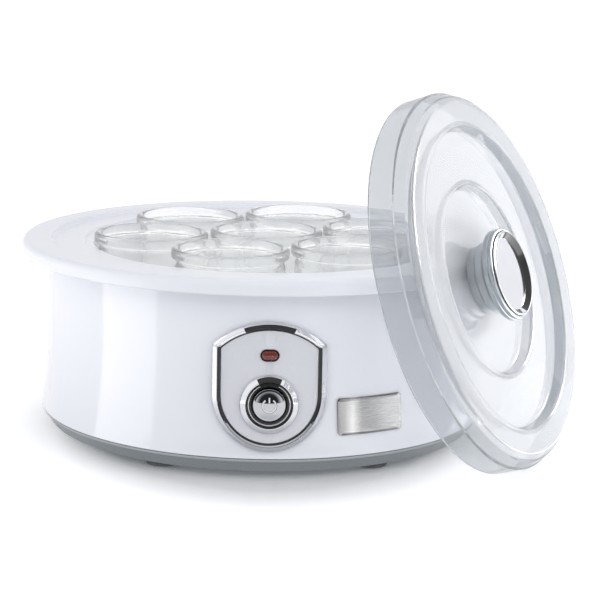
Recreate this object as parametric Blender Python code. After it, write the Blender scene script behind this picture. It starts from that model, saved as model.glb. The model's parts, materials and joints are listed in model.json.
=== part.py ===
"""Electric yogurt maker: a heated round tub with seven glass jars, and its clear lid leaning on the rim.

The origin is on the tub's axis at the level of the feet. +Z is up and the control panel faces -Y.
Dimensions below are in millimetres; meshes are written in metres.
"""

import math

import bmesh
import bpy
from mathutils import Matrix, Vector

MM = 0.001
GAP = 0.3  # kept between pieces that rest on or in each other

# ---- driving dimensions ----
FLANGE_R = 125.0
FLANGE_TOP = 96.5
FLANGE_INNER_R = 110.6
LIP_H = 7.3
SHEET = 2.2  # general wall thickness of the mouldings

LEDGE_Z = 93.4  # the closed lid's rim would stand here
TUB_R = 88.5
TUB_FLOOR = 27.0
FLOOR_SHEET = 2.0

WALL_R = 112.0
WALL_FLARE = 3.7
WALL_FLARE_TOP = 55.0
WALL_BOTTOM = 10.3
WALL_TOP = 91.7

FOOT_H = 2.7
PLATEAU_Z = 1.2
PLATEAU_R = 56.0
BASE_Z = FOOT_H + GAP
BASE_FLOOR = BASE_Z + SHEET
FOOT_XY = (50.0, 87.0)
POST_XY = (87.0, 50.0)
POST_R = 4.5
POST_BORE_R = 1.8
SCREW_SINK = BASE_Z + 1.2  # how far up the base screws' heads sit

JAR_RING = 60.0
JAR_RIM_R = 28.8
JAR_R = 27.0
JAR_TOP = 99.9
JAR_FIRST_DEG = -18.0  # from -Y towards +X
JAR_FOOT = TUB_FLOOR + GAP
JAR_H = JAR_TOP - JAR_FOOT

LID_R = 91.5
LID_H = 20.0
LID_WALL = 2.1
LID_DISH_Z = 10.0  # top of the sunken middle
LID_PLATE_Z = 14.4
KNOB_CROWN = 26.0
LID_AZIMUTH_DEG = 61.0  # where its face points, from -Y towards +X
LID_FACE_UP_DEG = 19.0  # how far its outer face looks up
LID_ASIDE = 24.0  # how far its middle leans to the left of where it touches the flange
LID_FLOOR_GAP = 0.25

PANEL_BOTTOM = 14.2
PANEL_R_BOTTOM = 115.2
PANEL_TOP = 75.3
PANEL_R_TOP = 112.2
PANEL_HALF_W = 26.6
PANEL_ARCH_R = 37.2
PANEL_CORNER_R = 3.5
BEZEL_W = 4.0
PLATE_BACK = 0.4
PLATE_FRONT = 1.5

BUTTON_Z = 36.6
LAMP_Z = 59.7
LAMP_SIZE = (7.8, 4.5)
RING_R = 13.8
SLEEVE_R = 10.2
CAP_R = 7.7
SWITCH_FRONT = -9.0
BOARD_FRONT = -16.0
BOARD_T = 1.6
BOARD_POST = (13.0, 14.0)

LABEL_AZIMUTH_DEG = 25.0
LABEL_SIZE = (34.0, 17.5)
LABEL_Z = 29.3

ELEMENT_R = 50.0
ELEMENT_Z = 20.9
HEATER_T = 1.4
STRAP_HOLE_X = 62.0
STRAP_BOSS_BOTTOM = TUB_FLOOR - 8.3
STRAP_T = 1.2
TERMINAL_Z = 9.5
CORD_Z = 24.0

# ---- facets round a turn ----
BIG = 36
MIDDLE = 20
JAR_STEPS = 16
SMALL = 12
TINY = 8

PANEL_TILT = math.atan2(PANEL_R_BOTTOM - PANEL_R_TOP, PANEL_TOP - PANEL_BOTTOM)

MATERIALS = {
    "white_gloss": ((0.90, 0.91, 0.93, 1), 0.12, 0.0),
    "grey_base": ((0.17, 0.19, 0.20, 1), 0.35, 0.0),
    "rubber": ((0.03, 0.03, 0.03, 1), 0.8, 0.0),
    "chrome": ((0.80, 0.80, 0.82, 1), 0.06, 1.0),
    "panel_satin": ((0.62, 0.62, 0.68, 1), 0.35, 0.1),
    "red_lens": ((0.25, 0.01, 0.01, 0.8), 0.1, 0.0),
    "label_metal": ((0.60, 0.60, 0.60, 1), 0.3, 1.0),
    "clear_lid": ((0.80, 0.84, 0.88, 0.35), 0.05, 0.0),
    "knob_grey": ((0.42, 0.45, 0.47, 1), 0.25, 0.4),
    "jar_glass": ((0.85, 0.92, 0.90, 0.35), 0.03, 0.0),
    "steel": ((0.55, 0.55, 0.56, 1), 0.3, 1.0),
    "aluminium": ((0.75, 0.76, 0.77, 1), 0.35, 1.0),
    "black_plastic": ((0.02, 0.02, 0.02, 1), 0.45, 0.0),
    "board": ((0.05, 0.22, 0.10, 1), 0.5, 0.0),
    "wire_brown": ((0.18, 0.07, 0.03, 1), 0.5, 0.0),
    "wire_blue": ((0.03, 0.10, 0.35, 1), 0.5, 0.0),
    "insulation": ((0.70, 0.68, 0.62, 1), 0.7, 0.0),
}


# ---- helpers ----
def material(name):
    found = bpy.data.materials.get(name)
    if found:
        return found
    colour, roughness, metallic = MATERIALS[name]
    made = bpy.data.materials.new(name)
    made.use_nodes = True
    shader = made.node_tree.nodes["Principled BSDF"]
    shader.inputs["Base Color"].default_value = colour
    shader.inputs["Alpha"].default_value = colour[3]
    shader.inputs["Roughness"].default_value = roughness
    shader.inputs["Metallic"].default_value = metallic
    return made


def finish_mesh(name, bm, slot=None, parent=None, location=(0, 0, 0)):
    """Turn a bmesh in millimetres into an object in metres. Without a slot it is a hidden tool body."""
    bmesh.ops.recalc_face_normals(bm, faces=bm.faces)
    bmesh.ops.scale(bm, vec=(MM, MM, MM), verts=bm.verts)
    mesh = bpy.data.meshes.new(name)
    bm.to_mesh(mesh)
    bm.free()
    return place_mesh(name, mesh, slot, parent, location)


def place_mesh(name, mesh, slot=None, parent=None, location=(0, 0, 0)):
    thing = bpy.data.objects.new(name, mesh)
    bpy.context.collection.objects.link(thing)
    thing.location = Vector(location) * MM
    thing.parent = parent
    if slot is None:
        thing.hide_render = True
        thing.display_type = "WIRE"
        return thing
    if not mesh.materials:
        mesh.materials.append(material(slot))
    mesh.shade_smooth()
    mesh.set_sharp_from_angle(angle=math.radians(35))
    return thing


def frame_empty(name, matrix):
    """An empty whose matrix is in millimetres; pieces parented to it are modelled round its own Z axis."""
    empty = bpy.data.objects.new(name, None)
    bpy.context.collection.objects.link(empty)
    placed = matrix.copy()
    placed.translation = matrix.translation * MM
    empty.matrix_world = placed
    return empty


def add_turned(bm, profile, steps, at=(0, 0, 0), matrix=None):
    """Turn a closed (radius, z) outline about Z; one that starts and ends at radius 0 is left open there."""
    verts = [bm.verts.new((r, 0, z)) for r, z in profile]
    on_axis = profile[0][0] == 0 and profile[-1][0] == 0
    pairs = list(zip(verts, verts[1:])) + ([] if on_axis else [(verts[-1], verts[0])])
    edges = [bm.edges.new(pair) for pair in pairs]
    before = {v for v in bm.verts} - set(verts)
    bmesh.ops.spin(
        bm, geom=verts + edges, cent=(0, 0, 0), axis=(0, 0, 1), angle=math.tau, steps=steps, use_merge=True
    )
    made = [v for v in bm.verts if v not in before]
    bmesh.ops.remove_doubles(bm, verts=made, dist=1e-4)
    made = [v for v in bm.verts if v not in before]
    place = Matrix.Translation(at) if matrix is None else matrix
    bmesh.ops.transform(bm, matrix=place, verts=made)


def add_loft(bm, rings, closed=False):
    """Skin rings of points that have the same count; ends are capped unless closed."""
    loops = [[bm.verts.new(p) for p in ring] for ring in rings]
    count = len(loops[0])
    pairs = list(zip(loops, loops[1:])) + ([(loops[-1], loops[0])] if closed else [])
    for low, high in pairs:
        for i in range(count):
            j = (i + 1) % count
            bm.faces.new((low[i], low[j], high[j], high[i]))
    if not closed:
        bm.faces.new(loops[0])
        bm.faces.new(loops[-1])


def add_prism(bm, outline, y_from, y_to):
    """A straight bar of the (x, z) outline along Y."""
    add_loft(bm, [[(x, y, z) for x, z in outline] for y in (y_from, y_to)])


def add_block(bm, low, high):
    (x0, y0, z0), (x1, y1, z1) = low, high
    corners = [(x0, y0), (x1, y0), (x1, y1), (x0, y1)]
    add_loft(bm, [[(x, y, z) for x, y in corners] for z in (z0, z1)])


def add_tube(bm, path, radius, sides):
    """A round bar along a path of points."""
    points = [Vector(p) for p in path]
    rings = []
    side = None
    for i, point in enumerate(points):
        ahead = points[min(i + 1, len(points) - 1)] - points[max(i - 1, 0)]
        ahead.normalize()
        if side is None:
            side = ahead.orthogonal().normalized()
        side = (side - ahead * side.dot(ahead)).normalized()
        other = ahead.cross(side)
        turns = [math.tau * k / sides for k in range(sides)]
        rings.append([point + radius * (math.cos(t) * side + math.sin(t) * other) for t in turns])
    add_loft(bm, rings)


def cut(thing, tool, operation="DIFFERENCE"):
    step = thing.modifiers.new(tool.name, "BOOLEAN")
    step.operation = operation
    step.object = tool
    step.solver = "EXACT"


def turned(name, profile, steps, slot, parent=None, location=(0, 0, 0)):
    bm = bmesh.new()
    add_turned(bm, profile, steps)
    return finish_mesh(name, bm, slot, parent, location)


def arc(cx, cy, radius, start_deg, end_deg, steps):
    turns = [math.radians(start_deg + (end_deg - start_deg) * k / steps) for k in range(steps + 1)]
    return [(cx + radius * math.cos(t), cy + radius * math.sin(t)) for t in turns]


def azimuth_xy(radius, degrees):
    """A point at this angle from -Y towards +X."""
    turn = math.radians(degrees)
    return radius * math.sin(turn), -radius * math.cos(turn)


def wall_radius(z):
    drop = max(0.0, (WALL_FLARE_TOP - z) / (WALL_FLARE_TOP - WALL_BOTTOM))
    return WALL_R + WALL_FLARE * drop**2


def panel_radius(z):
    share = (z - PANEL_BOTTOM) / (PANEL_TOP - PANEL_BOTTOM)
    return PANEL_R_BOTTOM + (PANEL_R_TOP - PANEL_R_BOTTOM) * share


def panel_point(x, z, depth):
    """A point this far in front of the panel's curved back surface."""
    return (x, -math.sqrt((panel_radius(z) + depth) ** 2 - x**2), z)


def shield(inset):
    """The panel's outline, drawn in by inset: a half round foot, straight sides and a shallow arch on top."""
    half = PANEL_HALF_W - inset
    arch = PANEL_ARCH_R - inset
    corner = max(1.5, PANEL_CORNER_R - inset)
    foot_z = PANEL_BOTTOM + PANEL_HALF_W
    arch_z = PANEL_TOP - PANEL_ARCH_R
    corner_x = half - corner
    corner_z = arch_z + math.sqrt((arch - corner) ** 2 - corner_x**2)
    meet = math.degrees(math.atan2(corner_z - arch_z, corner_x))
    points = arc(0, foot_z, half, 180, 360, 12)
    points += arc(corner_x, corner_z, corner, 0, meet, 2)
    points += arc(0, arch_z, arch, meet, 180 - meet, 8)[1:-1]
    points += arc(-corner_x, corner_z, corner, 180 - meet, 180, 2)
    return points


def pill(width, height, at_z, steps=6):
    half = height / 2
    reach = width / 2 - half
    return arc(reach, at_z, half, -90, 90, steps) + arc(-reach, at_z, half, 90, 270, steps)


def rounded_rectangle(width, height, at_z, corner=1.5, steps=3):
    x, z = width / 2 - corner, height / 2 - corner
    points = []
    for start, sx, sz in ((0, 1, 1), (90, -1, 1), (180, -1, -1), (270, 1, -1)):
        points += arc(sx * x, at_z + sz * z, corner, start, start + 90, steps)
    return points


# ---- tub, wall and base ----
def lip_profile():
    """The flange from its inner edge over the top and round the drooping lip, outer side only."""
    low = FLANGE_TOP - LIP_H
    return [
        (FLANGE_INNER_R, FLANGE_TOP),
        (FLANGE_R - 4.5, FLANGE_TOP),
        (FLANGE_R - 1.4, FLANGE_TOP - 1.1),
        (FLANGE_R, FLANGE_TOP - 3.5),
        (FLANGE_R, low + 1.0),
        (FLANGE_R - 0.8, low),
        (FLANGE_R - 2.4, low),
    ]


def make_inner_tub():
    rib_r = LID_R + 1.3
    step = LEDGE_Z + 1.0
    under_step = step - SHEET
    profile = [
        (0, TUB_FLOOR),
        (TUB_R - 3, TUB_FLOOR),
        (TUB_R - 0.8, TUB_FLOOR + 2.4),
        (TUB_R, LEDGE_Z - 0.6),
        (TUB_R + 0.6, LEDGE_Z),
        (rib_r, LEDGE_Z),
        (rib_r + 0.6, step),
        (FLANGE_INNER_R - 1.6, step),
        *lip_profile(),
        (FLANGE_R - 2.7, FLANGE_TOP - 4.2),
        (FLANGE_R - 4.6, FLANGE_TOP - SHEET),
        (WALL_R + 0.8, FLANGE_TOP - SHEET),
        (WALL_R - 0.4, under_step),
        (rib_r + 1.0, under_step),
        (TUB_R + SHEET, under_step - 3.0),
        (TUB_R + SHEET - 0.8, TUB_FLOOR + 2.4),
        (TUB_R - 2, TUB_FLOOR - FLOOR_SHEET),
        (0, TUB_FLOOR - FLOOR_SHEET),
    ]
    tub = turned("inner_tub", profile, BIG, "white_gloss")

    bm = bmesh.new()
    foot, top, bore_top = BASE_FLOOR + GAP, LEDGE_Z, 22.0
    post = [(0, top), (POST_R, top), (POST_R, foot)]
    post += [(POST_BORE_R, foot), (POST_BORE_R, bore_top), (0, bore_top)]
    root, low, bore_r, bore_top = TUB_FLOOR - 1, STRAP_BOSS_BOTTOM, 1.5, 23.4
    boss = [(0, root), (3.5, root), (3.5, low), (bore_r, low), (bore_r, bore_top), (0, bore_top)]
    for sx in (-1, 1):
        for sy in (-1, 1):
            add_turned(bm, post, SMALL, (sx * POST_XY[0], sy * POST_XY[1], 0))
        add_turned(bm, boss, TINY, (sx * STRAP_HOLE_X, 0, 0))
    cut(tub, finish_mesh("tub_posts", bm), "UNION")


def make_outer_shell(panel):
    heights = [WALL_BOTTOM, 16, 23, 31, 41, WALL_FLARE_TOP, WALL_TOP]
    outer = [(wall_radius(z), z) for z in reversed(heights)]
    inner = [(wall_radius(z) - 2.4, z) for z in heights]
    shell = turned("outer_shell", outer + inner, BIG, "white_gloss")

    bm = bmesh.new()
    root, rest, bore_end = -3.4, BOARD_FRONT + GAP, -8.0
    post = [(0, root), (2.6, root), (2.6, rest), (1.3, rest), (1.3, bore_end), (0, bore_end)]
    for side in (-1, 1):
        place = Matrix.Translation((side * BOARD_POST[0], BOARD_POST[1], 0))
        add_turned(bm, post, TINY, matrix=panel @ place)
    cut(shell, finish_mesh("board_posts", bm), "UNION")

    bm = bmesh.new()
    add_turned(bm, [(0, 6), (SLEEVE_R + 0.6, 6), (SLEEVE_R + 0.6, -9), (0, -9)], MIDDLE, matrix=panel)
    width, height = LAMP_SIZE
    add_prism(bm, pill(width + 0.8, height + 0.8, LAMP_Z), -WALL_R - 5, -WALL_R + 5)
    hole = [(0, WALL_R - 8), (5.3, WALL_R - 8), (5.3, WALL_R + 8), (0, WALL_R + 8)]
    add_turned(bm, hole, SMALL, matrix=cord_frame())
    cut(shell, finish_mesh("shell_holes", bm))


def cord_frame():
    """Z runs out of the back of the wall at the cord's height."""
    return Matrix.Translation((0, 0, CORD_Z)) @ Matrix.Rotation(-math.pi / 2, 4, "X")


def make_base_cover():
    edge = WALL_R + WALL_FLARE - 0.3
    tongue = edge - 3.0
    profile = [
        (0, BASE_FLOOR - 1.8),
        (PLATEAU_R + 2, BASE_FLOOR - 1.8),
        (PLATEAU_R + 4.5, BASE_FLOOR),
        (tongue - 2.4, BASE_FLOOR),
        (tongue - 2.0, WALL_BOTTOM + 3.7),
        (tongue, WALL_BOTTOM + 3.7),
        (tongue + 0.5, WALL_BOTTOM - GAP),
        (edge, WALL_BOTTOM - GAP),
        (edge - 0.8, WALL_BOTTOM - 1.6),
        (edge - 4.0, BASE_Z + 0.6),
        (edge - 4.8, BASE_Z),
        (PLATEAU_R + 2, BASE_Z),
        (PLATEAU_R, PLATEAU_Z),
        (0, PLATEAU_Z),
    ]
    cover = turned("base_cover", profile, BIG, "grey_base")

    bm = bmesh.new()
    below, above = BASE_Z - 2, BASE_FLOOR + 2
    peg = [(0, below), (2.7, below), (2.7, above), (0, above)]
    hole = [(0, below), (4.3, below), (4.3, SCREW_SINK), (1.9, SCREW_SINK), (1.9, above), (0, above)]
    for sx in (-1, 1):
        for sy in (-1, 1):
            add_turned(bm, peg, TINY, (sx * FOOT_XY[0], sy * FOOT_XY[1], 0))
            add_turned(bm, hole, SMALL, (sx * POST_XY[0], sy * POST_XY[1], 0))
    cut(cover, finish_mesh("cover_holes", bm))


def make_feet_and_screws():
    corners = [(-1, -1), (1, -1), (1, 1), (-1, 1)]
    foot = [(0, 0), (7.2, 0), (8, 0.8), (7.6, FOOT_H), (2.3, FOOT_H), (2.3, 6.6), (0, 6.6)]
    seat = SCREW_SINK - GAP
    screw = [(0, 2.6), (3.0, 2.6), (3.6, 3.1), (3.6, seat), (1.5, seat), (1.5, 19.5), (0, 20.5)]
    for number, (sx, sy) in enumerate(corners, 1):
        place = (sx * FOOT_XY[0], sy * FOOT_XY[1], 0)
        turned(f"foot_{number}", foot, SMALL, "rubber", location=place)
        place = (sx * POST_XY[0], sy * POST_XY[1], 0)
        turned(f"base_screw_{number}", screw, TINY, "steel", location=place)


# ---- heater ----
def make_heater():
    top = TUB_FLOOR - FLOOR_SHEET - GAP
    under, plate_r = top - HEATER_T, 72.0
    disc = [(0, top), (plate_r, top), (plate_r, under), (0, under)]
    plate = turned("heater_plate", disc, BIG // 2, "aluminium")
    strap_top = STRAP_BOSS_BOTTOM - GAP
    bm = bmesh.new()
    add_block(bm, (-68, -5, strap_top - STRAP_T), (68, 5, strap_top))
    strap = finish_mesh("heater_strap", bm, "steel")

    bm = bmesh.new()
    for side in (-1, 1):
        add_turned(bm, [(0, 19), (3.9, 19), (3.9, 27), (0, 27)], TINY, (side * STRAP_HOLE_X, 0, 0))
    cut(plate, finish_mesh("plate_holes", bm))
    bm = bmesh.new()
    for side in (-1, 1):
        add_turned(bm, [(0, 14), (1.6, 14), (1.6, 20), (0, 20)], TINY, (side * STRAP_HOLE_X, 0, 0))
    cut(strap, finish_mesh("strap_holes", bm))

    seat = strap_top - STRAP_T - GAP
    screw = [(0, seat - 2), (2.6, seat - 2), (2.6, seat), (1.2, seat), (1.2, 22.2), (0, 22.6)]
    for number, side in ((1, -1), (2, 1)):
        turned(f"strap_screw_{number}", screw, TINY, "steel", location=(side * STRAP_HOLE_X, 0, 0))

    open_deg = 8.0
    ring = arc(0, 0, ELEMENT_R, 90 + open_deg, 450 - open_deg, 26)
    leg_x = ring[-1][0]
    path = [(-leg_x, 63.5), (-leg_x, 56)] + ring + [(leg_x, 56), (leg_x, 63.5)]
    bm = bmesh.new()
    add_tube(bm, [(x, y, ELEMENT_Z) for x, y in path], 2.0, 6)
    finish_mesh("heating_element", bm, "steel")

    low, high = 17.2, under - 0.4
    body = [(0, high), (8.5, high), (8.5, high - 1.2), (7.2, high - 1.6), (7.2, low), (0, low)]
    turned("thermostat", body, SMALL, "black_plastic", location=(0, -28, 0))
    bm = bmesh.new()
    lying = Matrix.Translation((0, 28, ELEMENT_Z)) @ Matrix.Rotation(math.pi / 2, 4, "Y")
    add_turned(bm, [(0, -8), (1.4, -7), (2, -6), (2, 6), (1.4, 7), (0, 8)], TINY, matrix=lying)
    finish_mesh("thermal_fuse", bm, "label_metal")

    low = BASE_FLOOR + GAP
    turned("heat_shield", [(20, low), (20, low + 0.8), (85, low + 0.8), (85, low)], BIG // 2, "insulation")


# ---- mains inlet and wiring ----
def bend(points):
    """Cut each inner corner of a path, so that the wire turns it in two small bends."""
    out = [Vector(points[0])]
    for before, here, after in zip(points, points[1:], points[2:]):
        corner = Vector(here)
        out += [corner.lerp(Vector(before), 0.25), corner.lerp(Vector(after), 0.25)]
    return [*out, Vector(points[-1])]


def make_inlet_and_wires():
    bm = bmesh.new()
    block_front, block_side = 87.5, 13.0
    low, high = BASE_FLOOR + GAP, BASE_FLOOR + 8.3
    add_block(bm, (-block_side, block_front, low), (block_side, block_front + 11, high))
    finish_mesh("terminal_block", bm, "black_plastic")

    collar = 8.0
    seat = wall_radius(CORD_Z - collar) + GAP
    relief = [
        (2.8, seat - 9),
        (4.8, seat - 9),
        (4.8, seat),
        (collar, seat),
        (collar, seat + 1.6),
        (5.2, seat + 2.6),
        (3.9, seat + 14),
        (2.8, seat + 14),
    ]
    bm = bmesh.new()
    add_turned(bm, relief, SMALL, matrix=cord_frame())
    finish_mesh("strain_relief", bm, "black_plastic")

    outer_run, inner_run, low, high = 89.5, 82.0, 12.5, BUTTON_Z - 9.0
    live = [(-block_side - GAP, 92, TERMINAL_Z), (-block_side - 3, 92, TERMINAL_Z)]
    live += [(-block_side - 7, 90, low)]
    live += [(*azimuth_xy(outer_run, a), low) for a in range(-160, -19, 20)]
    live += [(-6, -outer_run, low), (-5, -99, 20), (-5, -103, high)]
    switched = [(5, -103, high), (5, -99, 20), (4, -86, low)]
    switched += [(*azimuth_xy(inner_run, a), low) for a in range(-10, -160, -20)]
    switched += [(-14, 77, 15), (-7, 70, ELEMENT_Z), (-7, 64.2, ELEMENT_Z)]
    neutral = [(7, block_front - GAP, TERMINAL_Z), (7, 84, TERMINAL_Z)]
    neutral += [(7, 72, ELEMENT_Z), (7, 64.2, ELEMENT_Z)]
    for name, path, slot in (
        ("wire_live", live, "wire_brown"),
        ("wire_switched", switched, "wire_brown"),
        ("wire_neutral", neutral, "wire_blue"),
    ):
        bm = bmesh.new()
        add_tube(bm, bend(path), 1.1, 5)
        finish_mesh(name, bm, slot)


# ---- control panel ----
def curved_sheet(name, slot, radius_at, heights, outline, back, front, reach, azimuth_deg=0.0):
    """A sheet that follows a turned surface, trimmed to an outline seen from the front."""
    skin = [(radius_at(z) + front, z) for z in heights]
    skin += [(radius_at(z) + back, z) for z in reversed(heights)]
    sheet = turned(name, skin, BIG * 2, slot)
    bm = bmesh.new()
    add_prism(bm, outline, -reach - 12, -reach + 30)
    tool = finish_mesh(name + "_outline", bm)
    cut(sheet, tool, "INTERSECT")
    for thing in (sheet, tool):
        thing.rotation_euler.z = math.radians(azimuth_deg)
    return sheet


def make_panel(panel, panel_empty):
    section = [
        (0, PLATE_BACK),
        (0, 1.7),
        (1.0, 2.8),
        (2.2, 3.1),
        (3.2, 2.7),
        (BEZEL_W, 1.9),
        (BEZEL_W, PLATE_BACK),
    ]
    rings = [[panel_point(x, z, depth) for x, z in shield(inset)] for inset, depth in section]
    bm = bmesh.new()
    add_loft(bm, rings, closed=True)
    finish_mesh("panel_bezel", bm, "chrome")

    heights = [PANEL_BOTTOM - 2, PANEL_TOP + 2]
    outline = shield(BEZEL_W + GAP)
    plate = curved_sheet(
        "panel_plate", "panel_satin", panel_radius, heights, outline, PLATE_BACK, PLATE_FRONT, PANEL_R_TOP
    )
    width, height = LAMP_SIZE
    bm = bmesh.new()
    add_turned(bm, [(0, 9), (SLEEVE_R + 0.5, 9), (SLEEVE_R + 0.5, -9), (0, -9)], MIDDLE, matrix=panel)
    add_prism(bm, pill(width + 0.7, height + 0.7, LAMP_Z), -WALL_R - 9, -WALL_R + 9)
    cut(plate, finish_mesh("plate_openings", bm))

    rings = []
    for inset, depth in ((0, -3.4), (0, 1.8), (0.5, 2.3), (1.4, 2.6)):
        outline = pill(width - 2 * inset, height - 2 * inset, LAMP_Z)
        rings.append([panel_point(x, z, depth) for x, z in outline])
    bm = bmesh.new()
    add_loft(bm, rings)
    finish_mesh("lamp_lens", bm, "red_lens")

    ring = [
        (RING_R, 1.9),
        (RING_R, 2.9),
        (RING_R - 0.9, 3.8),
        (RING_R - 2.3, 4.3),
        (RING_R - 3.9, 3.5),
        (CAP_R + 1.0, 3.1),
        (CAP_R + 0.4, 2.5),
        (CAP_R + 0.4, -6),
        (SLEEVE_R, -6),
        (SLEEVE_R, 1.9),
    ]
    turned("button_ring", ring, MIDDLE, "chrome", panel_empty)


def make_button(panel_empty):
    cap = [
        (0, 5.0),
        (3.5, 4.8),
        (6.2, 4.1),
        (CAP_R - 0.2, 3.0),
        (CAP_R, 2.4),
        (CAP_R, -1.5),
        (CAP_R - 1.5, -1.5),
        (CAP_R - 1.5, 1.2),
        (0, 1.2),
    ]
    turned("button_cap", cap, MIDDLE, "chrome", panel_empty)
    stem = [(0, 0.9), (5.6, 0.9), (5.6, 0.1), (2, 0.1), (2, SWITCH_FRONT - 0.6), (0, SWITCH_FRONT - 0.6)]
    turned("button_plunger", stem, SMALL, "black_plastic", panel_empty)

    turns, steps, radius, wire = 4.5, 8, 3.6, 0.35
    low, high = SWITCH_FRONT + GAP + wire, -0.2 - wire - 0.1
    count = int(turns * steps)
    path = []
    for k in range(count + 1):
        turn = math.tau * k / steps
        path.append((radius * math.cos(turn), radius * math.sin(turn), low + (high - low) * k / count))
    bm = bmesh.new()
    add_tube(bm, path, wire, 4)
    finish_mesh("button_spring", bm, "steel", panel_empty)


def make_switch_and_board(panel_empty):
    bm = bmesh.new()
    add_block(bm, (-11, -8, BOARD_FRONT + GAP), (11, 8, SWITCH_FRONT))
    switch = finish_mesh("switch_body", bm, "black_plastic", panel_empty)
    bm = bmesh.new()
    mouth = SWITCH_FRONT + 2
    add_turned(bm, [(0, mouth), (2.6, mouth), (2.6, -13.4), (0, -13.4)], SMALL)
    cut(switch, finish_mesh("switch_hole", bm, parent=panel_empty))

    back = BOARD_FRONT - BOARD_T
    bm = bmesh.new()
    add_block(bm, (-16.5, -10, back), (16.5, 27, BOARD_FRONT))
    board = finish_mesh("circuit_board", bm, "board", panel_empty)
    bm = bmesh.new()
    for side in (-1, 1):
        hole = [(0, BOARD_FRONT + 2), (1.5, BOARD_FRONT + 2), (1.5, back - 2), (0, back - 2)]
        add_turned(bm, hole, TINY, (side * BOARD_POST[0], BOARD_POST[1], 0))
    cut(board, finish_mesh("board_holes", bm, parent=panel_empty))
    seat = back - GAP
    screw = [(0, -9), (1.0, -9.4), (1.0, seat), (2.3, seat), (2.3, seat - 1.3), (0, seat - 1.3)]
    for number, side in ((1, -1), (2, 1)):
        place = (side * BOARD_POST[0], BOARD_POST[1], 0)
        turned(f"board_screw_{number}", screw, TINY, "steel", panel_empty, place)

    tip = -4.6
    bulb = [(0, tip), (1.5, tip - 0.5), (2.3, tip - 2), (2.3, BOARD_FRONT + GAP), (0, BOARD_FRONT + GAP)]
    turned("neon_lamp", bulb, TINY, "red_lens", panel_empty, (0, LAMP_Z - BUTTON_Z, 0))


def make_label():
    width, height = LABEL_SIZE
    heights = [LABEL_Z + height * share for share in (-0.6, -0.25, 0.1, 0.6)]
    outline = rounded_rectangle(width, height, LABEL_Z)
    curved_sheet(
        "label_plate", "label_metal", wall_radius, heights, outline, 0.4, 1.0, WALL_R, LABEL_AZIMUTH_DEG
    )


# ---- jars ----
def make_jars():
    top = JAR_H
    inner = JAR_R - 3.0
    profile = [
        (0, 0),
        (JAR_R - 6, 0),
        (JAR_R - 1.4, 3.2),
        (JAR_R, 8),
        (JAR_R, top - 8.5),
        (JAR_R - 0.8, top - 5.6),
        (JAR_RIM_R, top - 4.2),
        (JAR_RIM_R, top - 1.2),
        (JAR_RIM_R - 1.4, top),
        (JAR_RIM_R - 3.2, top),
        (inner, top - 2.6),
        (inner, 11),
        (inner - 3.5, 5.4),
        (0, 4.2),
    ]
    places = [azimuth_xy(JAR_RING, JAR_FIRST_DEG + 60 * k) for k in range(6)] + [(0, 0)]
    first = None
    for number, (x, y) in enumerate(places, 1):
        if first is None:
            first = turned("jar_1", profile, JAR_STEPS, "jar_glass", location=(x, y, JAR_FOOT))
            continue
        place_mesh(f"jar_{number}", first.data, "jar_glass", location=(x, y, JAR_FOOT))


# ---- lid ----
def lid_frame():
    """The lid's own frame: origin in the middle of its open rim, Z out through its knob."""
    up = math.radians(LID_FACE_UP_DEG)
    reach = max(r * math.cos(up) + z * math.sin(up) for r, z in lip_profile())
    rim_z = LID_R * math.cos(up) + LID_FLOOR_GAP
    dish_under = LID_DISH_Z - LID_WALL
    rim_r = (reach + GAP - dish_under - rim_z * math.sin(up)) / math.cos(up)
    turn = Matrix.Rotation(math.radians(LID_AZIMUTH_DEG), 4, "Z")
    tip = Matrix.Rotation(math.pi / 2 - up, 4, "X")
    return turn @ Matrix.Translation((-LID_ASIDE, -rim_r, rim_z)) @ tip


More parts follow.
